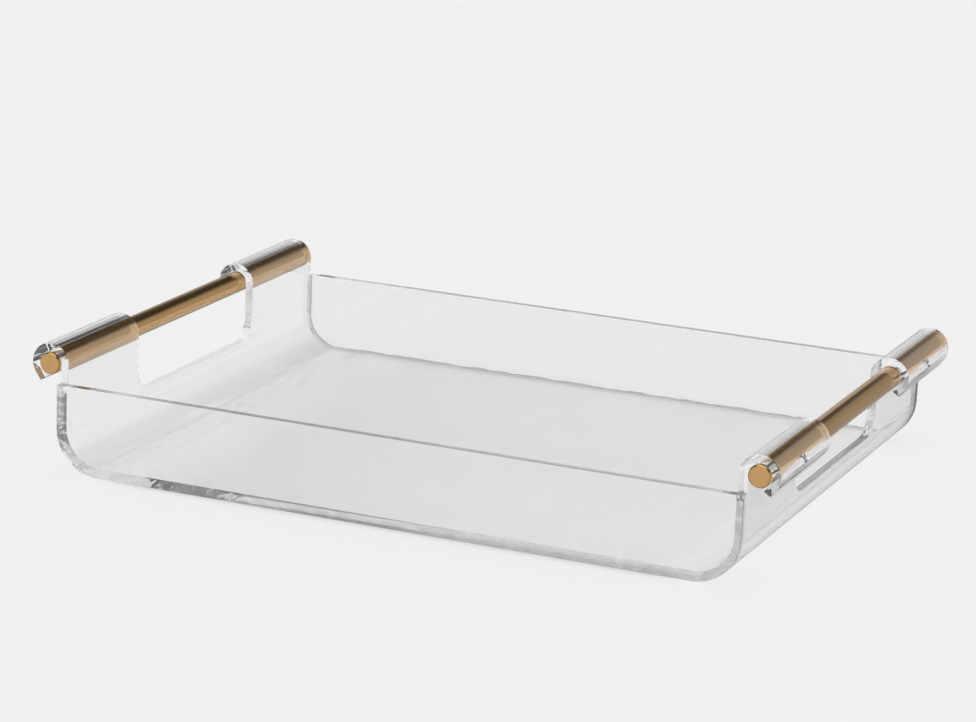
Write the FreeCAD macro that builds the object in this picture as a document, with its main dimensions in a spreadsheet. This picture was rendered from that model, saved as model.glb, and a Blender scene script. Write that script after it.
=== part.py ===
"""Clear acrylic vanity tray with two brass rod handles.

One bent acrylic sheet makes the floor, the two end walls and the ears that curl outwards over the rods.
A flat panel closes the front and another the back. A set screw in the lip of each ear locks its rod.
+X is to the right along the length of the tray, +Y is to the back and +Z is up. The origin is at the
centre of the footprint, on the surface that the tray stands on. Sizes are in millimetres.
"""

import FreeCAD, Part
import math
import os

import Sketcher
from FreeCAD import Vector

document = FreeCAD.newDocument("vanity_tray")

# ---------------------------------------------------------------- driving dimensions

DIMENSIONS = {
    "tray_length": 406.0,             # between the outer faces of the two end walls
    "tray_depth": 317.0,              # between the outer faces of the front and back panels
    "sheet_thickness": 4.75,          # of the bent sheet and of both panels
    "panel_height": 50.6,             # top edge of the front and back panels
    "bend_radius": 26.0,              # outer radius of the bend from floor to end wall
    "rod_radius": 6.35,
    "rod_clearance": 0.4,             # all round, between a rod and the curl that holds it
    "rod_height": 61.2,               # axis of the rods above the table
    "rod_length": 310.5,              # both ends stand 1.5 mm proud of the curls
    "rod_end_chamfer": 0.6,
    "lip_turn": 36.0,                 # how far the curl turns below the horizontal, in degrees
    "lip_length": 5.0,                # straight stretch at the end of the curl
    "opening_length": 145.0,          # hand opening, along the depth of the tray
    "opening_sill_height": 27.0,      # lowest edge of the hand opening
    "opening_corner_radius": 14.0,
    "screw_radius": 2.0,
    "screw_hole_radius": 2.1,
    "screw_length": 4.0,
    "screw_tip_gap": 0.05,            # between a set screw's tip and the rod
    "screw_tip_chamfer": 0.6,
    "socket_width": 2.0,              # across the flats of the hexagon socket
    "socket_depth": 2.2,
}

# Sizes that follow from the driving ones, as formulas on the sheet's aliases.
DERIVED = {
    "half_length": "tray_length / 2",
    "half_depth": "tray_depth / 2",
    "curl_inner_radius": "rod_radius + rod_clearance",
    "curl_outer_radius": "curl_inner_radius + sheet_thickness",
    "rod_offset": "half_length + curl_inner_radius",
    "sheet_width": "tray_depth - 2 * sheet_thickness",
    "ear_middle": "(sheet_width + opening_length) / 4",
    "opening_top": "rod_height + 2 * curl_outer_radius",
    "screw_seat": "rod_offset + rod_radius + screw_tip_gap",
    "socket_corner_radius": "socket_width / (2 * cos(30 deg))",
}

sheet = document.addObject("Spreadsheet::Sheet", "Dimensions")
for row, (alias, value) in enumerate(DIMENSIONS.items(), start=1):
    sheet.set(f"A{row}", alias)
    sheet.set(f"B{row}", str(value))
    sheet.setAlias(f"B{row}", alias)
for row, (alias, formula) in enumerate(DERIVED.items(), start=len(DIMENSIONS) + 1):
    sheet.set(f"A{row}", alias)
    sheet.set(f"B{row}", "=" + formula)
    sheet.setAlias(f"B{row}", alias)
document.recompute()


def size(alias):
    """A dimension's value, for the first guess at a sketch's points."""
    return float(sheet.get(alias))


def bind(thing, prop, formula):
    """Bind a property to a formula whose words are aliases of the sheet."""
    words = formula
    for alias in sorted([*DIMENSIONS, *DERIVED], key=len, reverse=True):
        words = replace_word(words, alias)
    thing.setExpression(prop, words)


def replace_word(text, alias):
    """Put the sheet's name before each whole word that is this alias."""
    pieces = text.split(" ")
    return " ".join(f"Dimensions.{alias}" if piece == alias else piece for piece in pieces)


# ---------------------------------------------------------------- sketch helpers

ORIGIN_POINT = (-1, 1)                # the sketch's own origin, as Sketcher numbers it
START, END, CENTRE = 1, 2, 3          # Sketcher's numbers for the points of a line or an arc


def new_body(name):
    body = document.addObject("PartDesign::Body", name)
    body.Label = name
    return body


def origin_plane(body, role):
    return next(feature for feature in body.Origin.OriginFeatures if feature.Role == role)


def new_sketch(body, name, role, offset_formula=None):
    """A sketch on one of the body's origin planes, or at a bound distance along that plane's normal."""
    sketch = body.newObject("Sketcher::SketchObject", name)
    sketch.AttachmentSupport = (origin_plane(body, role), "")
    sketch.MapMode = "FlatFace"
    if offset_formula:
        bind(sketch, "AttachmentOffset.Base.z", offset_formula)
    document.recompute()
    return sketch


def add_line(sketch, start, end):
    return sketch.addGeometry(Part.LineSegment(Vector(*start, 0), Vector(*end, 0)), False)


def add_arc(sketch, centre, radius, first, last):
    """An arc from the angle first to the angle last, in degrees, anticlockwise."""
    circle = Part.Circle(Vector(*centre, 0), Vector(0, 0, 1), radius)
    return sketch.addGeometry(Part.ArcOfCircle(circle, math.radians(first), math.radians(last)), False)


def constrain(sketch, kind, *where):
    return sketch.addConstraint(Sketcher.Constraint(kind, *where))


def dimension(sketch, kind, *where, formula, guess):
    """A dimension whose value is bound to the spreadsheet."""
    index = sketch.addConstraint(Sketcher.Constraint(kind, *where, guess))
    bind(sketch, f"Constraints[{index}]", formula)


def along(centre, radius, degrees):
    turn = math.radians(degrees)
    return (centre[0] + radius * math.cos(turn), centre[1] + radius * math.sin(turn))


def add_pad(body, name, sketch, formula, symmetric=False):
    pad = body.newObject("PartDesign::Pad", name)
    pad.Profile = sketch
    if symmetric:
        pad.SideType = "Symmetric"
    bind(pad, "Length", formula)
    document.recompute()
    return pad


def add_pocket_through(body, name, sketch):
    """A cut through everything on the +normal side of the sketch."""
    before = body.Shape.Volume
    pocket = body.newObject("PartDesign::Pocket", name)
    pocket.Profile = sketch
    pocket.Type = "ThroughAll"
    pocket.Reversed = True
    document.recompute()
    if not body.Shape.Volume < before:
        raise RuntimeError(f"{name} cuts nothing")
    return pocket


# ---------------------------------------------------------------- bent sheet

def sketch_sheet_section(body):
    """Right half of the bent sheet's section: floor, bend, end wall, curl and lip."""
    sketch = new_sketch(body, "sheet_section", "XZ_Plane")
    thickness = size("sheet_thickness")
    wall = size("half_length")
    bend_outer = size("bend_radius")
    curl_inner = size("curl_inner_radius")
    curl_outer = size("curl_outer_radius")
    turn = -size("lip_turn")
    bend = (wall - bend_outer, bend_outer)
    rod = (size("rod_offset"), size("rod_height"))
    lip_direction = (math.sin(math.radians(turn)), -math.cos(math.radians(turn)))
    lip_step = (lip_direction[0] * size("lip_length"), lip_direction[1] * size("lip_length"))
    lip_inner_root = along(rod, curl_inner, turn)
    lip_outer_root = along(rod, curl_outer, turn)
    lip_inner_end = (lip_inner_root[0] + lip_step[0], lip_inner_root[1] + lip_step[1])
    lip_outer_end = (lip_outer_root[0] + lip_step[0], lip_outer_root[1] + lip_step[1])

    underside = add_line(sketch, (0, 0), (bend[0], 0))
    bend_out = add_arc(sketch, bend, bend_outer, -90, 0)
    wall_out = add_line(sketch, (wall, bend[1]), (wall, rod[1]))
    curl_in = add_arc(sketch, rod, curl_inner, turn, 180)
    lip_in = add_line(sketch, lip_inner_root, lip_inner_end)
    lip_end = add_line(sketch, lip_inner_end, lip_outer_end)
    lip_out = add_line(sketch, lip_outer_end, lip_outer_root)
    curl_out = add_arc(sketch, rod, curl_outer, turn, 180)
    wall_in = add_line(sketch, (wall - thickness, rod[1]), (wall - thickness, bend[1]))
    bend_in = add_arc(sketch, bend, bend_outer - thickness, -90, 0)
    floor_top = add_line(sketch, (bend[0], thickness), (0, thickness))
    middle = add_line(sketch, (0, thickness), (0, 0))

    smooth_joints = [
        (underside, END, bend_out, START),
        (bend_out, END, wall_out, START),
        (wall_out, END, curl_in, END),
        (curl_in, START, lip_in, START),
        (lip_out, END, curl_out, START),
        (curl_out, END, wall_in, START),
        (wall_in, END, bend_in, END),
        (bend_in, START, floor_top, START),
    ]
    for joint in smooth_joints:
        constrain(sketch, "Tangent", *joint)
    corners = [
        (lip_in, END, lip_end, START),
        (lip_end, END, lip_out, START),
        (floor_top, END, middle, START),
        (middle, END, underside, START),
    ]
    for corner in corners:
        constrain(sketch, "Coincident", *corner)
    constrain(sketch, "Coincident", underside, START, *ORIGIN_POINT)
    constrain(sketch, "Horizontal", underside)
    constrain(sketch, "Horizontal", floor_top)
    constrain(sketch, "Vertical", middle)
    constrain(sketch, "Vertical", wall_out)
    constrain(sketch, "Vertical", wall_in)
    constrain(sketch, "Coincident", bend_out, CENTRE, bend_in, CENTRE)
    constrain(sketch, "Coincident", curl_in, CENTRE, curl_out, CENTRE)
    constrain(sketch, "Perpendicular", lip_end, lip_in)
    constrain(sketch, "Parallel", lip_in, lip_out)
    dimension(sketch, "DistanceY", *ORIGIN_POINT, floor_top, END,
              formula="sheet_thickness", guess=thickness)
    dimension(sketch, "Radius", bend_out, formula="bend_radius", guess=bend_outer)
    dimension(sketch, "DistanceX", *ORIGIN_POINT, wall_out, START, formula="half_length", guess=wall)
    dimension(sketch, "Radius", curl_in, formula="curl_inner_radius", guess=curl_inner)
    dimension(sketch, "DistanceY", *ORIGIN_POINT, curl_in, CENTRE, formula="rod_height", guess=rod[1])
    dimension(sketch, "Distance", lip_in, START, lip_in, END,
              formula="lip_length", guess=size("lip_length"))
    dimension(sketch, "Angle", lip_in, END, wall_out, START,
              formula="lip_turn * 1 deg", guess=math.radians(size("lip_turn")))
    document.recompute()
    return sketch


def sketch_hand_opening(body):
    """Opening in the end wall: open at the top, with rounded lower corners."""
    sketch = new_sketch(body, "opening_outline", "YZ_Plane")
    half = size("opening_length") / 2
    sill = size("opening_sill_height")
    top = size("opening_top")
    corner = size("opening_corner_radius")
    sill_line = add_line(sketch, (corner - half, sill), (half - corner, sill))
    back_corner = add_arc(sketch, (half - corner, sill + corner), corner, -90, 0)
    back_edge = add_line(sketch, (half, sill + corner), (half, top))
    top_line = add_line(sketch, (half, top), (-half, top))
    front_edge = add_line(sketch, (-half, top), (-half, sill + corner))
    front_corner = add_arc(sketch, (corner - half, sill + corner), corner, 180, 270)
    smooth_joints = [
        (sill_line, END, back_corner, START),
        (back_corner, END, back_edge, START),
        (front_edge, END, front_corner, START),
        (front_corner, END, sill_line, START),
    ]
    for joint in smooth_joints:
        constrain(sketch, "Tangent", *joint)
    constrain(sketch, "Coincident", back_edge, END, top_line, START)
    constrain(sketch, "Coincident", top_line, END, front_edge, START)
    constrain(sketch, "Horizontal", sill_line)
    constrain(sketch, "Horizontal", top_line)
    constrain(sketch, "Vertical", back_edge)
    constrain(sketch, "Vertical", front_edge)
    constrain(sketch, "Equal", front_corner, back_corner)
    dimension(sketch, "Radius", back_corner, formula="opening_corner_radius", guess=corner)
    dimension(sketch, "DistanceY", *ORIGIN_POINT, sill_line, START,
              formula="opening_sill_height", guess=sill)
    dimension(sketch, "DistanceY", *ORIGIN_POINT, top_line, START, formula="opening_top", guess=top)
    dimension(sketch, "DistanceX", *ORIGIN_POINT, top_line, START,
              formula="opening_length / 2", guess=half)
    dimension(sketch, "DistanceX", top_line, END, top_line, START,
              formula="opening_length", guess=2 * half)
    document.recompute()
    return sketch


def sketch_screw_holes(body):
    """Two round holes, one in the middle of each ear, level with the rod."""
    sketch = new_sketch(body, "screw_hole_outline", "YZ_Plane", "rod_offset")
    height = size("rod_height")
    for side in (-1, 1):
        place = Vector(side * size("ear_middle"), height, 0)
        hole = sketch.addGeometry(Part.Circle(place, Vector(0, 0, 1), size("screw_hole_radius")), False)
        dimension(sketch, "Radius", hole, formula="screw_hole_radius", guess=size("screw_hole_radius"))
        dimension(sketch, "DistanceX", *ORIGIN_POINT, hole, CENTRE,
                  formula=f"{side} * ear_middle", guess=side * size("ear_middle"))
        dimension(sketch, "DistanceY", *ORIGIN_POINT, hole, CENTRE, formula="rod_height", guess=height)
    document.recompute()
    return sketch


def build_tray_sheet():
    """The right half is padded and cut, and the whole is its mirror image on the YZ plane."""
    body = new_body("tray_sheet")
    half_sheet = add_pad(body, "half_sheet", sketch_sheet_section(body), "sheet_width", symmetric=True)
    opening = add_pocket_through(body, "hand_opening", sketch_hand_opening(body))
    holes = add_pocket_through(body, "screw_holes", sketch_screw_holes(body))
    mirrored = body.newObject("PartDesign::Mirrored", "both_ends")
    mirrored.Originals = [half_sheet, opening, holes]
    mirrored.MirrorPlane = (origin_plane(body, "YZ_Plane"), [""])
    body.Tip = mirrored
    document.recompute()
    return body


# ---------------------------------------------------------------- front and back panels

def build_panel(name, place_formula):
    """Flat panel with the outline of the bent sheet: square at the top, rounded at the lower corners."""
    body = new_body(name)
    sketch = new_sketch(body, f"{name}_outline", "XZ_Plane")
    half = size("half_length")
    height = size("panel_height")
    corner = size("bend_radius")
    bottom = add_line(sketch, (corner - half, 0), (half - corner, 0))
    right_corner = add_arc(sketch, (half - corner, corner), corner, -90, 0)
    right = add_line(sketch, (half, corner), (half, height))
    top = add_line(sketch, (half, height), (-half, height))
    left = add_line(sketch, (-half, height), (-half, corner))
    left_corner = add_arc(sketch, (corner - half, corner), corner, 180, 270)
    smooth_joints = [
        (bottom, END, right_corner, START),
        (right_corner, END, right, START),
        (left, END, left_corner, START),
        (left_corner, END, bottom, START),
    ]
    for joint in smooth_joints:
        constrain(sketch, "Tangent", *joint)
    constrain(sketch, "Coincident", right, END, top, START)
    constrain(sketch, "Coincident", top, END, left, START)
    constrain(sketch, "Horizontal", bottom)
    constrain(sketch, "Horizontal", top)
    constrain(sketch, "Vertical", right)
    constrain(sketch, "Vertical", left)
    constrain(sketch, "Equal", left_corner, right_corner)
    dimension(sketch, "Radius", right_corner, formula="bend_radius", guess=corner)
    dimension(sketch, "DistanceY", *ORIGIN_POINT, top, START, formula="panel_height", guess=height)
    dimension(sketch, "DistanceY", bottom, START, top, START, formula="panel_height", guess=height)
    dimension(sketch, "DistanceX", *ORIGIN_POINT, top, START, formula="half_length", guess=half)
    dimension(sketch, "DistanceX", top, END, top, START, formula="tray_length", guess=2 * half)
    document.recompute()
    add_pad(body, f"{name}_plate", sketch, "sheet_thickness")
    bind(body, "Placement.Base.y", place_formula)
    return body


# ---------------------------------------------------------------- handle rods

def build_rod(name, side):
    """Solid rod along Y, with a small chamfer on each end."""
    body = new_body(name)
    sketch = new_sketch(body, f"{name}_section", "XZ_Plane")
    radius = size("rod_radius")
    circle = sketch.addGeometry(Part.Circle(Vector(0, 0, 0), Vector(0, 0, 1), radius), False)
    constrain(sketch, "Coincident", circle, CENTRE, *ORIGIN_POINT)
    dimension(sketch, "Radius", circle, formula="rod_radius", guess=radius)
    bar = add_pad(body, f"{name}_bar", sketch, "rod_length", symmetric=True)
    chamfer = body.newObject("PartDesign::Chamfer", f"{name}_ends")
    rims = [
        f"Edge{number}"
        for number, edge in enumerate(bar.Shape.Edges, start=1)
        if isinstance(edge.Curve, Part.Circle)
    ]
    chamfer.Base = (bar, rims)
    bind(chamfer, "Size", "rod_end_chamfer")
    bind(body, "Placement.Base.x", f"{side} * rod_offset")
    bind(body, "Placement.Base.z", "rod_height")
    document.recompute()
    return body


# ---------------------------------------------------------------- set screws

def build_set_screw(name, side, end):
    """Headless screw with a hexagon socket. It points at the rod's axis from the outer lip of an ear."""
    shank = document.addObject("Part::Cylinder", f"{name}_shank")
    bind(shank, "Radius", "screw_radius")
    bind(shank, "Height", "screw_length")
    document.recompute()
    pointed = document.addObject("Part::Chamfer", f"{name}_pointed")
    pointed.Base = shank
    tip_edges = [
        number
        for number, edge in enumerate(shank.Shape.Edges, start=1)
        if isinstance(edge.Curve, Part.Circle) and abs(edge.CenterOfMass.z) < size("screw_length") / 2
    ]
    tip_chamfer = size("screw_tip_chamfer")
    pointed.Edges = [(number, tip_chamfer, tip_chamfer) for number in tip_edges]
    socket = document.addObject("Part::Prism", f"{name}_socket")
    socket.Polygon = 6
    bind(socket, "Circumradius", "socket_corner_radius")
    bind(socket, "Height", "socket_depth")
    bind(socket, "Placement.Base.z", "screw_length - socket_depth")
    screw = document.addObject("Part::Cut", name)
    screw.Label = name
    screw.Base = pointed
    screw.Tool = socket
    screw.Placement.Rotation = FreeCAD.Rotation(Vector(0, 0, 1), Vector(side, 0, 0))
    bind(screw, "Placement.Base.x", f"{side} * screw_seat")
    bind(screw, "Placement.Base.y", f"{end} * ear_middle")
    bind(screw, "Placement.Base.z", "rod_height")
    document.recompute()
    return screw


# ---------------------------------------------------------------- assembly

SIDES = {"left": -1, "right": 1}
ENDS = {"front": -1, "back": 1}

sub_parts = [
    build_tray_sheet(),
    build_panel("front_panel", "sheet_thickness - half_depth"),
    build_panel("back_panel", "half_depth"),
]
for side_name, side in SIDES.items():
    sub_parts.append(build_rod(f"{side_name}_handle_rod", side))
    for end_name, end in ENDS.items():
        sub_parts.append(build_set_screw(f"{side_name}_{end_name}_set_screw", side, end))

document.recompute()
for item in document.Objects:
    if "Invalid" in item.State or "Error" in item.State:
        raise RuntimeError(f"{item.Label} failed: {item.State}")
for part in sub_parts:
    if part.Shape.isNull() or not part.Shape.isValid():
        raise RuntimeError(f"{part.Label} has no valid shape")

os.makedirs("parts", exist_ok=True)
for part in sub_parts:
    part.Shape.exportStep(os.path.join("parts", f"{part.Label}.step"))
    bounds = part.Shape.BoundBox
    print(f"{part.Label}: {len(part.Shape.Solids)} solid, volume {part.Shape.Volume:.1f} mm3, "
          f"X {bounds.XMin:.2f}..{bounds.XMax:.2f}, Y {bounds.YMin:.2f}..{bounds.YMax:.2f}, "
          f"Z {bounds.ZMin:.2f}..{bounds.ZMax:.2f}")
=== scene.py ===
import math

import bpy
from mathutils import Matrix, Vector


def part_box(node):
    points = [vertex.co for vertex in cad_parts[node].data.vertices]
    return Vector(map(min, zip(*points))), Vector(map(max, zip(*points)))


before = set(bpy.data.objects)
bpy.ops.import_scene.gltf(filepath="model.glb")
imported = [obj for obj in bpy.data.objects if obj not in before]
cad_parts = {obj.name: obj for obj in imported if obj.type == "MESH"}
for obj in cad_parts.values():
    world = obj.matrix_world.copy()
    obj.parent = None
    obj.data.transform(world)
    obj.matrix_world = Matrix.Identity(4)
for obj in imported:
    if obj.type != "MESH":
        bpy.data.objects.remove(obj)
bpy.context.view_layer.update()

# ---------------------------------------------------------------------------
# Names and sizes, in metres; the last two sizes are the CAD's, and the others are read from the frame
# ---------------------------------------------------------------------------

SIDES = ("left", "right")
ENDS = ("front", "back")
ROD_NODES = tuple(f"{side}_handle_rod" for side in SIDES)
SCREW_NODES = tuple(f"{side}_{end}_set_screw" for side in SIDES for end in ENDS)

panel_low, panel_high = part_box("front_panel")
sheet_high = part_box("tray_sheet")[1]
rod_low, rod_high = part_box("right_handle_rod")

sheet_thickness = panel_high.y - panel_low.y
panel_height = panel_high.z
half_length = panel_high.x
sheet_half_width = sheet_high.y
rod_centre = (rod_low + rod_high) / 2
bend_radius = 0.026             # outer radius between floor and end wall
opening_half_length = 0.0725    # of the hand opening between two curls


# ---------------------------------------------------------------------------
# A short way to write node trees
# ---------------------------------------------------------------------------

def grey(value):
    return (value, value, value, 1.0)


class Tree:
    """A node tree being built: most calls add nodes and give back the last one's output."""

    def __init__(self, owner):
        owner.use_nodes = True
        self.nodes = owner.node_tree.nodes
        self.links = owner.node_tree.links
        self.nodes.clear()

    def add(self, kind, settings=None, **inputs):
        """The new node itself; an underscore in an input's name stands for a space."""
        node = self.nodes.new(kind)
        for name, value in (settings or {}).items():
            setattr(node, name, value)
        for name, value in inputs.items():
            self.feed(node, name.replace("_", " "), value)
        return node

    def feed(self, node, name, value):
        socket = node.inputs[int(name)] if name.isdigit() else node.inputs[name]
        if isinstance(value, bpy.types.NodeSocket):
            self.links.new(value, socket)
        else:
            socket.default_value = value

    def math(self, operation, *values):
        node = self.nodes.new("ShaderNodeMath")
        node.operation = operation
        for place, value in enumerate(values):
            self.feed(node, str(place), value)
        return node.outputs[0]

    def step(self, value, low, high, start=0.0, end=1.0):
        """start below low, end above high, and a smooth change between them."""
        node = self.nodes.new("ShaderNodeMapRange")
        node.interpolation_type = "SMOOTHSTEP"
        for name, number in zip(("From Min", "From Max", "To Min", "To Max"), (low, high, start, end)):
            self.feed(node, name, number)
        self.feed(node, "Value", value)
        return node.outputs["Result"]

    def stretched(self, scale):
        """Place on the object in metres, times scale on each axis."""
        here = self.add("ShaderNodeTexCoord").outputs["Object"]
        node = self.add("ShaderNodeVectorMath", {"operation": "MULTIPLY"})
        self.feed(node, "0", here)
        self.feed(node, "1", scale)
        return node.outputs[0]

    def noise(self, scale, detail):
        """Noise from 0 to 1, with scale in features per metre along each axis."""
        node = self.add("ShaderNodeTexNoise", Vector=self.stretched(scale), Scale=1.0,
                        Detail=detail, Roughness=0.5)
        return node.outputs["Fac"]

    def blend(self, factor, low, high):
        """A number: low where factor is 0, high where it is 1."""
        node = self.nodes.new("ShaderNodeMix")
        for place, value in (("0", factor), ("2", low), ("3", high)):
            self.feed(node, place, value)
        return node.outputs[0]

    def mix_colour(self, factor, low, high):
        node = self.add("ShaderNodeMix", {"data_type": "RGBA"})
        self.feed(node, "0", factor)
        self.feed(node, "6", low)
        self.feed(node, "7", high)
        return node.outputs[2]

    def bump(self, height, distance, normal=None):
        """A bump whose full height is distance metres."""
        node = self.add("ShaderNodeBump", Height=height, Distance=distance, Strength=1.0)
        if normal is not None:
            self.feed(node, "Normal", normal)
        return node.outputs["Normal"]

    def mix_shader(self, factor, low, high):
        node = self.nodes.new("ShaderNodeMixShader")
        self.feed(node, "0", factor)
        self.feed(node, "1", low)
        self.feed(node, "2", high)
        return node.outputs[0]

    def finish(self, surface, kind="ShaderNodeOutputMaterial"):
        self.add(kind, Surface=surface)


# ---------------------------------------------------------------------------
# Masks: 1 on one kind of surface, 0 elsewhere
# ---------------------------------------------------------------------------

# Parts of a noise's 0 to 1 that a look is spread over.
NARROW = (0.35, 0.65)
MEDIUM = (0.3, 0.7)
WIDE = (0.2, 0.8)
HAZE_RANGE = (0.35, 0.75)

TOUCH = 5e-5                    # surfaces nearer than this lie on each other
FLAT_ON = 0.9                   # a face that looks straight along an axis faces it by more than this
HALF_ON = 0.5                   # a face that looks roughly along an axis faces it by more than this
BEAD_HEIGHT = 0.0018            # of the cement squeezed out of a joint, at most
BEAD_LOW = 0.6 * BEAD_HEIGHT
SEAM_FOOT = 0.3 * bend_radius   # where the upright part of a joint begins
CONTACT_HEIGHT = 2.4 * sheet_thickness      # of the part of a panel that counts as meeting the studio floor
CONTACT_FADE = (2.2, 0.8)       # where a panel's contact ends, in bend radii from the end wall
FLOOR_FADE = (2.0, 0.5)         # where the tray's floor ends, in bend radii from the end wall


# Features of each noise per metre along X, Y and Z.
BEAD_SCALE = (60, 1, 1)
BLOTCH_SCALE = (140, 30, 140)
HAZE_SCALE = (55, 55, 55)
WAVE_SCALE = (14, 20, 14)
SAW_SCALE = (260, 260, 260)
DRAWN_SCALE = (4000, 12, 4000)
RING_SCALE = 5000.0             # outwards from a rod's axis
CLOUD_SCALE = (30, 12, 30)
GRAIN_SCALE = (6000, 6000, 6000)


def place_on_object(tree):
    return tree.add("ShaderNodeSeparateXYZ", Vector=tree.stretched((1, 1, 1))).outputs


def facing(tree):
    """How far the surface faces along each axis, either way, from 0 to 1."""
    normal = tree.add("ShaderNodeNewGeometry").outputs["True Normal"]
    parts = tree.add("ShaderNodeSeparateXYZ", Vector=normal).outputs
    return {axis: tree.math("ABSOLUTE", parts[axis]) for axis in "XYZ"}


def above(tree, value, limit):
    return tree.math("GREATER_THAN", value, limit)


def below(tree, value, limit):
    return tree.math("LESS_THAN", value, limit)


def both(tree, *masks):
    result = masks[0]
    for mask in masks[1:]:
        result = tree.math("MULTIPLY", result, mask)
    return result


def either(tree, *masks):
    result = masks[0]
    for mask in masks[1:]:
        result = tree.math("MAXIMUM", result, mask)
    return result


def length_of(tree, u, v):
    return tree.math("SQRT", tree.math("ADD", tree.math("MULTIPLY", u, u), tree.math("MULTIPLY", v, v)))


def before_wall(tree, fade):
    """1 in the middle of the tray, falling to 0 towards each end wall between the two places in fade."""
    here = place_on_object(tree)
    start, end = (half_length - radii * bend_radius for radii in fade)
    return tree.step(tree.math("ABSOLUTE", here["X"]), start, end, 1.0, 0.0)


def rod_distance(tree):
    """Distance from the axis of the nearer handle rod."""
    here = place_on_object(tree)
    across = tree.math("SUBTRACT", tree.math("ABSOLUTE", here["X"]), rod_centre.x)
    return length_of(tree, across, tree.math("SUBTRACT", here["Z"], rod_centre.z))


def outline_depth(tree):
    """How deep a point lies inside the rounded outline of a panel."""
    here = place_on_object(tree)
    from_side = tree.math("SUBTRACT", half_length, tree.math("ABSOLUTE", here["X"]))
    u = tree.math("MAXIMUM", tree.math("SUBTRACT", bend_radius, from_side), 0.0)
    v = tree.math("MAXIMUM", tree.math("SUBTRACT", bend_radius, here["Z"]), 0.0)
    straight = tree.math("MINIMUM", from_side, here["Z"])
    round_part = tree.math("SUBTRACT", bend_radius, length_of(tree, u, v))
    in_bend = above(tree, tree.math("MINIMUM", u, v), 0.0)
    change = tree.math("MULTIPLY", in_bend, tree.math("SUBTRACT", round_part, straight))
    return tree.math("ADD", straight, change)


def weld_mask(tree):
    """Where a panel and the bent sheet are cemented face to face."""
    here = place_on_object(tree)
    off_joint = tree.math("SUBTRACT", tree.math("ABSOLUTE", here["Y"]), sheet_half_width)
    return both(tree, below(tree, outline_depth(tree), sheet_thickness),
                below(tree, here["Z"], panel_height - TOUCH),
                below(tree, tree.math("ABSOLUTE", off_joint), TOUCH),
                above(tree, facing(tree)["Y"], FLAT_ON))


def sheet_edge_mask(tree):
    """Cut edges of the bent sheet: its front and back edges, the hand openings and the lips."""
    here, turned = place_on_object(tree), facing(tree)
    in_wall = both(tree, above(tree, tree.math("ABSOLUTE", here["X"]), half_length - 2 * sheet_thickness),
                   above(tree, here["Z"], bend_radius), below(tree, here["Z"], rod_low.z - sheet_thickness),
                   below(tree, turned["X"], HALF_ON))
    return either(tree, above(tree, turned["Y"], HALF_ON), in_wall)


def panel_edge_mask(tree):
    """Cut edges of a panel, all round its outline."""
    return below(tree, facing(tree)["Y"], HALF_ON)


def contact_mask(tree):
    """The lowest part of a panel, which lets less light through, for the soft dark line at its foot."""
    here = place_on_object(tree)
    return both(tree, above(tree, tree.math("ABSOLUTE", here["Y"]), sheet_half_width + TOUCH),
                below(tree, outline_depth(tree), CONTACT_HEIGHT), before_wall(tree, CONTACT_FADE))


# Where a panel's top edge takes painted shade, on the front panel only.
def top_edge_mask(tree):
    return above(tree, place_on_object(tree)["Z"], panel_height - TOUCH)


def seam_bead_mask(tree):
    """Cement squeezed out along the tray's floor, on the inner side of a panel."""
    here = place_on_object(tree)
    off_joint = tree.math("SUBTRACT", tree.math("ABSOLUTE", here["Y"]), sheet_half_width)
    rise = tree.step(tree.noise(BEAD_SCALE, detail=2), *NARROW, BEAD_LOW, BEAD_HEIGHT)
    depth = tree.math("SUBTRACT", outline_depth(tree), sheet_thickness)
    return both(tree, below(tree, tree.math("ABSOLUTE", off_joint), TOUCH),
                above(tree, facing(tree)["Y"], FLAT_ON),
                above(tree, depth, 0.0), below(tree, depth, rise))


def right_seam_mask(tree):
    """The upright part of the joint along the right end wall."""
    here = place_on_object(tree)
    return both(tree, above(tree, here["X"], 0.0), tree.step(here["Z"], SEAM_FOOT, bend_radius))


def open_floor_share(tree):
    """1 on the outside of the tray's floor, fading to 0 up the bends to the end walls."""
    here = place_on_object(tree)
    outside = tree.math("SUBTRACT", 1.0, tree.add("ShaderNodeNewGeometry").outputs["Backfacing"])
    return both(tree, before_wall(tree, FLOOR_FADE), outside, above(tree, facing(tree)["Z"], HALF_ON),
                below(tree, here["Z"], 2 * sheet_thickness))


def left_sill_mask(tree):
    """The level edges of the left end wall, which face up."""
    here = place_on_object(tree)
    return both(tree, below(tree, here["X"], 2 * sheet_thickness - half_length),
                above(tree, facing(tree)["Z"], HALF_ON))


# ---------------------------------------------------------------------------
# Materials
# ---------------------------------------------------------------------------

ACRYLIC_IOR = 1.49
SHEET_TINT_AND_SHADE = 0.945              # colour of each kind of face, on a grey scale; the sheet's grey is partly the acrylic's own and partly painted shade
# The outside of the tray's floor keeps the clear colour, lighter than the painted shade on the rest of the
# sheet.
FLOOR_TINT = 1.0
FRONT_TINT = 1.0
FRONT_TOP_PAINTED_SHADE = 0.62           # painted shade: the front panel's top edge is darker than its other faces by this factor
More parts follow.
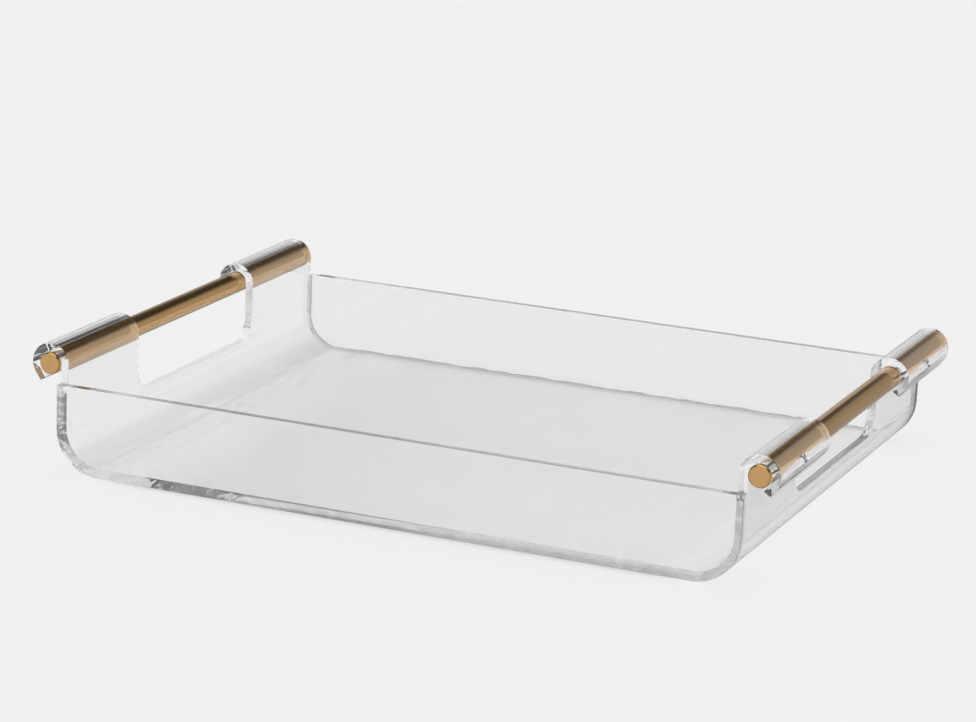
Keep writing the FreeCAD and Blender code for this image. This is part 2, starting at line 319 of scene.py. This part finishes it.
# painted shade: the back panel is greyer than the front panel
BACK_PAINTED_SHADE = 0.93
FACE_LIGHT_THROUGH = grey(1.0)  # what one face of the acrylic lets through to the studio floor
RIM_LIGHT_THROUGH = grey(0.58)  # the same where the acrylic meets the studio floor
POLISHED_ROUGHNESS = (0.0, 0.02)
CUT_ROUGHNESS = (0.0, 0.05)
FLOOR_ROUGHNESS = (0.21, 0.23)  # the tray's floor, with its fine scratches
FLOOR_FROST = 0.38              # shares of the light that a surface scatters
CUT_FROST = 0.02
LEFT_SILL_FROST = 0.8           # on the level edges of the left end wall, which the photo shows paler
SURFACE_WAVE = 0.00001          # bump heights in metres
SAW_MARKS = 0.000014
CEMENT_SHARE = 0.55             # how much of a joint's film this side of it shows, at most
THIN_CEMENT = 0.75              # the film at its thinnest, as a share of that
FULL_CEMENT = 0.85              # along the right end wall, where the joint is filled
LIGHT_CEMENT = grey(0.72)
DARK_CEMENT = grey(0.45)
BEAD_SHARE = 0.6
BEAD_GREY = grey(0.35)


def frost_share(tree, edge, floor):
    """How much of the light each point scatters instead of letting it through."""
    on_edge = tree.math("MULTIPLY", edge, tree.blend(left_sill_mask(tree), CUT_FROST, LEFT_SILL_FROST))
    return either(tree, on_edge, tree.math("MULTIPLY", floor, FLOOR_FROST))


def cement_film(tree, cement):
    """The blotched film of cement in a joint; cement is how much of it this side shows."""
    blotch = tree.noise(BLOTCH_SCALE, detail=4)
    frost = tree.add("ShaderNodeBsdfDiffuse", Color=tree.mix_colour(
        tree.step(blotch, *NARROW), LIGHT_CEMENT, DARK_CEMENT)).outputs[0]
    patches = tree.step(blotch, *MEDIUM, THIN_CEMENT * cement, cement)
    share = tree.blend(right_seam_mask(tree), patches, FULL_CEMENT)
    return tree.mix_shader(share, clear_film(tree), frost)


def clear_film(tree):
    return tree.add("ShaderNodeBsdfTransparent").outputs[0]


def clear_acrylic(name, edge_mask, tint_and_shade, top_painted_shade=1.0, cement=0.0, bead=0.0):
    """Cast clear acrylic, which lamp and diffuse rays cross in a straight line.

    cement and bead are how much of a joint's film and of its squeezed-out bead this piece shows.
    """
    material = bpy.data.materials.new(name)
    tree = Tree(material)
    edge = edge_mask(tree)
    haze = tree.noise(HAZE_SCALE, detail=3)
    wave = tree.noise(WAVE_SCALE, detail=1)
    saw = tree.noise(SAW_SCALE, detail=3)
    polished = tree.step(haze, *HAZE_RANGE, *POLISHED_ROUGHNESS)
    cut = tree.step(saw, *MEDIUM, *CUT_ROUGHNESS)
    worn = tree.step(haze, *HAZE_RANGE, *FLOOR_ROUGHNESS)
    floor = open_floor_share(tree)
    rough = tree.blend(edge, tree.blend(floor, polished, worn), cut)
    # painted shade: the sheet's walls and bends take a greyer colour than the outside of the tray's floor
    face_tint_and_shade = tree.mix_colour(floor, grey(tint_and_shade), grey(FLOOR_TINT))
    surface_wave = tree.bump(wave, SURFACE_WAVE)
    edge_wave = tree.bump(tree.math("MULTIPLY", saw, edge), SAW_MARKS, normal=surface_wave)
    # painted shade: the top edge's colour is darkened further by the top factor
    glass = tree.add("ShaderNodeBsdfPrincipled", IOR=ACRYLIC_IOR,
                     Base_Color=tree.mix_colour(top_edge_mask(tree), face_tint_and_shade, grey(tint_and_shade * top_painted_shade)),
                     Transmission_Weight=tree.math("SUBTRACT", 1.0, frost_share(tree, edge, floor)),
                     Roughness=rough, Normal=edge_wave).outputs[0]
    lamp_side = tree.add("ShaderNodeBsdfTransparent", Color=tree.mix_colour(
        contact_mask(tree), FACE_LIGHT_THROUGH, RIM_LIGHT_THROUGH)).outputs[0]
    rays = tree.add("ShaderNodeLightPath").outputs
    lamp_ray = either(tree, rays["Is Shadow Ray"], rays["Is Diffuse Ray"])
    clear = tree.mix_shader(lamp_ray, glass, lamp_side)
    if bead:
        grout = tree.add("ShaderNodeBsdfDiffuse", Color=BEAD_GREY).outputs[0]
        clear = tree.mix_shader(tree.math("MULTIPLY", seam_bead_mask(tree), bead), clear, grout)
    film = cement_film(tree, cement) if cement else clear_film(tree)
    tree.finish(tree.mix_shader(weld_mask(tree), clear, film))
    return material


BRASS = (0.64, 0.395, 0.175, 1.0)
DEEP_BRASS = (0.60, 0.363, 0.15, 1.0)
# painted light: the brass inside the curls is lighter and more golden than the bare rod, most on the right
LEFT_CURL_PAINTED_LIGHT = (0.66, 0.40, 0.145, 1.0)
RIGHT_CURL_PAINTED_LIGHT = (0.80, 0.50, 0.185, 1.0)
# painted shade: the rod's chamfer is darker than the brass it is cut from
CHAMFER_PAINTED_SHADE = (0.34, 0.21, 0.08, 1.0)
BRASS_ROUGHNESS = (0.15, 0.24)
DRAWN_LINES = 0.000004          # bump heights in metres
STEEL_GRAIN = 0.00001
CHAMFER_ON = 0.2                # a rod's side looks less along the rod than this, and its chamfer more
BLACK_OXIDE = (0.05, 0.05, 0.055, 1.0)
WORN_OXIDE = grey(0.10)
STEEL_ROUGHNESS = (0.3, 0.45)


def drawn_brass():
    """Satin brass drawn along the rod, turned on its end faces, with painted light in each side's curls,
    where it is lighter and more golden, most on the right, and painted shade on its chamfer.
    """
    material = bpy.data.materials.new("drawn_brass")
    tree = Tree(material)
    here, along = place_on_object(tree), facing(tree)["Y"]
    end_face = above(tree, along, FLAT_ON)
    side_face = below(tree, along, CHAMFER_ON)
    chamfer = both(tree, above(tree, along, CHAMFER_ON), below(tree, along, FLAT_ON))
    in_curl = above(tree, tree.math("ABSOLUTE", here["Y"]), opening_half_length)
    drawn = tree.noise(DRAWN_SCALE, detail=2)
    rings = tree.add("ShaderNodeTexNoise", {"noise_dimensions": "1D"}, Scale=1.0, Detail=2.0,
                     W=tree.math("MULTIPLY", rod_distance(tree), RING_SCALE)).outputs["Fac"]
    lines = tree.blend(end_face, drawn, rings)
    cloud = tree.noise(CLOUD_SCALE, detail=3)
    colour = tree.mix_colour(tree.step(cloud, *MEDIUM), BRASS, DEEP_BRASS)
    # painted light on the rods' sides inside the curls
    curl_painted_light = tree.mix_colour(above(tree, here["X"], 0.0), LEFT_CURL_PAINTED_LIGHT, RIGHT_CURL_PAINTED_LIGHT)
    colour = tree.mix_colour(both(tree, in_curl, side_face), colour, curl_painted_light)
    # painted shade on the chamfer
    colour = tree.mix_colour(chamfer, colour, CHAMFER_PAINTED_SHADE)
    surface = tree.add("ShaderNodeBsdfPrincipled", Metallic=1.0, Base_Color=colour,
                       Roughness=tree.step(lines, *WIDE, *BRASS_ROUGHNESS),
                       Normal=tree.bump(lines, DRAWN_LINES)).outputs[0]
    tree.finish(surface)
    return material


def black_steel():
    """Black oxide on the set screws."""
    material = bpy.data.materials.new("black_oxide_steel")
    tree = Tree(material)
    grain = tree.noise(GRAIN_SCALE, detail=2)
    surface = tree.add("ShaderNodeBsdfPrincipled", Metallic=1.0,
                       Base_Color=tree.mix_colour(grain, BLACK_OXIDE, WORN_OXIDE),
                       Roughness=tree.step(grain, *WIDE, *STEEL_ROUGHNESS),
                       Normal=tree.bump(grain, STEEL_GRAIN)).outputs[0]
    tree.finish(surface)
    return material


def dress(names, material):
    for name in names:
        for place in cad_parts[name].material_slots:
            place.material = material


dress(("tray_sheet",), clear_acrylic("bent_acrylic_sheet", sheet_edge_mask, SHEET_TINT_AND_SHADE))
dress(("front_panel",), clear_acrylic("front_acrylic_panel", panel_edge_mask, FRONT_TINT,
                                      top_painted_shade=FRONT_TOP_PAINTED_SHADE, cement=CEMENT_SHARE))
# The back panel takes painted shade in its colour.
dress(("back_panel",), clear_acrylic("back_acrylic_panel", panel_edge_mask, BACK_PAINTED_SHADE,
                                     cement=CEMENT_SHARE, bead=BEAD_SHARE))
dress(ROD_NODES, drawn_brass())
dress(SCREW_NODES, black_steel())
for rod_name in ROD_NODES:      # the studio floor shows no shadow of the rods
    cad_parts[rod_name].visible_shadow = False
    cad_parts[rod_name].visible_diffuse = False


# ---------------------------------------------------------------------------
# Studio: floor, light and camera
# ---------------------------------------------------------------------------

FLOOR_HALF = 30.0               # half the studio floor's width, in metres
FLOOR_GAP = 0.0002              # between the studio floor and the tray's underside
FLOOR_ALBEDO = 0.858


def make_floor():
    """A plain pale floor, which glossy reflections don't show."""
    mesh = bpy.data.meshes.new("studio_floor")
    corners = [(x * FLOOR_HALF, y * FLOOR_HALF, -FLOOR_GAP)
               for x, y in ((-1, -1), (1, -1), (1, 1), (-1, 1))]
    mesh.from_pydata(corners, [], [(0, 1, 2, 3)])
    floor = bpy.data.objects.new("studio_floor", mesh)
    bpy.context.scene.collection.objects.link(floor)
    material = bpy.data.materials.new("studio_floor")
    tree = Tree(material)
    tree.finish(tree.add("ShaderNodeBsdfDiffuse", Color=grey(FLOOR_ALBEDO)).outputs[0])
    mesh.materials.append(material)
    floor.visible_glossy = False


def sine(degrees):
    return math.sin(math.radians(degrees))


# Brightness of the studio all round, as a function of direction. X, Y and Z below are the parts
# of a unit vector, so Z is the sine of the height over the horizon.
BACKDROP_SIDES = 0.58
BACKDROP_MIDDLE = 0.40
FRONT_FILL = 0.4                # added to the backdrop in front of the tray
FLOOR_IN_FRONT = 0.87           # the floor as polished surfaces reflect it
FLOOR_AT_BACK = 0.44
DARK = 0.04                     # between the backdrop and the overhead light
OVERHEAD = 2.25
MIDDLE_X = 0.2                  # where the backdrop is least bright, and how far that reaches
MIDDLE_REACH = (0.12, 0.3)
FRONT_Y = (-0.5, 0.0)
FLOOR_Y = (-0.2, 0.8)
LOW_TOP = sine(16.5)            # the backdrop's upper edge, at the left and at the right
HIGH_TOP = sine(24)
TOP_X = (-0.15, 0.2)            # where it climbs from one to the other
PANEL_X = -0.31                 # a taller panel of the backdrop, its reach and its upper edge
PANEL_REACH = (0.05, 0.09)
PANEL_TOP = sine(21)
TOP_BLUR = (-0.05, 0.06)
OVERHEAD_Z = (sine(42), sine(62))


def make_studio_light():
    """Soft light from a low backdrop, a bright ceiling and the reflected floor."""
    world = bpy.data.worlds.new("studio")
    bpy.context.scene.world = world
    tree = Tree(world)
    direction = tree.add("ShaderNodeSeparateXYZ", Vector=tree.add("ShaderNodeTexCoord").outputs["Generated"])
    x, y, z = (direction.outputs[axis] for axis in "XYZ")
    off_middle = tree.math("ABSOLUTE", tree.math("SUBTRACT", x, MIDDLE_X))
    backdrop = tree.step(off_middle, *MIDDLE_REACH, BACKDROP_MIDDLE, BACKDROP_SIDES)
    backdrop = tree.math("ADD", backdrop, tree.step(y, *FRONT_Y, FRONT_FILL, 0.0))
    top = tree.step(x, *TOP_X, LOW_TOP, HIGH_TOP)
    off_panel = tree.math("ABSOLUTE", tree.math("SUBTRACT", x, PANEL_X))
    top = tree.math("ADD", top, tree.step(off_panel, *PANEL_REACH, PANEL_TOP - LOW_TOP, 0.0))
    low = tree.blend(tree.step(tree.math("SUBTRACT", z, top), *TOP_BLUR), backdrop, DARK)
    sky = tree.math("ADD", low, tree.step(z, *OVERHEAD_Z, 0.0, OVERHEAD))
    ground = tree.step(y, *FLOOR_Y, FLOOR_IN_FRONT, FLOOR_AT_BACK)
    light = tree.blend(above(tree, z, 0.0), ground, sky)
    tree.finish(tree.add("ShaderNodeBackground", Strength=light, Color=grey(1.0)).outputs[0],
                "ShaderNodeOutputWorld")


CAMERA_PLACE = Vector((0.75399, -1.82902, 0.58379))     # metres
CAMERA_AZIMUTH = 22.649                                 # degrees
CAMERA_ELEVATION = 14.911
CAMERA_ROLL = 2.477
CAMERA_LENS = 130.99                                    # millimetres
SENSOR_WIDTH = 36.0
FAR_CLIP = 200.0                                        # metres


def make_camera():
    """The camera at the photo's place, angle and lens."""
    azimuth, elevation = math.radians(CAMERA_AZIMUTH), math.radians(CAMERA_ELEVATION)
    roll = math.radians(CAMERA_ROLL)
    ahead = Vector((-math.sin(azimuth) * math.cos(elevation), math.cos(azimuth) * math.cos(elevation),
                    -math.sin(elevation)))
    right = ahead.cross(Vector((0, 0, 1))).normalized()
    up = right.cross(ahead)
    side = math.cos(roll) * right + math.sin(roll) * up
    top = math.cos(roll) * up - math.sin(roll) * right
    data = bpy.data.cameras.new("camera")
    data.lens = CAMERA_LENS
    data.sensor_width = SENSOR_WIDTH
    data.clip_end = FAR_CLIP
    camera = bpy.data.objects.new("camera", data)
    bpy.context.scene.collection.objects.link(camera)
    turn = Matrix((side, top, -ahead)).transposed().to_4x4()
    camera.matrix_world = Matrix.Translation(CAMERA_PLACE) @ turn
    bpy.context.scene.camera = camera


make_floor()
make_studio_light()
make_camera()

BOUNCES = 32                    # a ray crosses many acrylic faces

scene = bpy.context.scene
scene.view_settings.view_transform = "Standard"
scene.cycles.max_bounces = BOUNCES
scene.cycles.glossy_bounces = BOUNCES
scene.cycles.transmission_bounces = BOUNCES
scene.cycles.transparent_max_bounces = BOUNCES
scene.cycles.caustics_reflective = False
scene.cycles.caustics_refractive = False
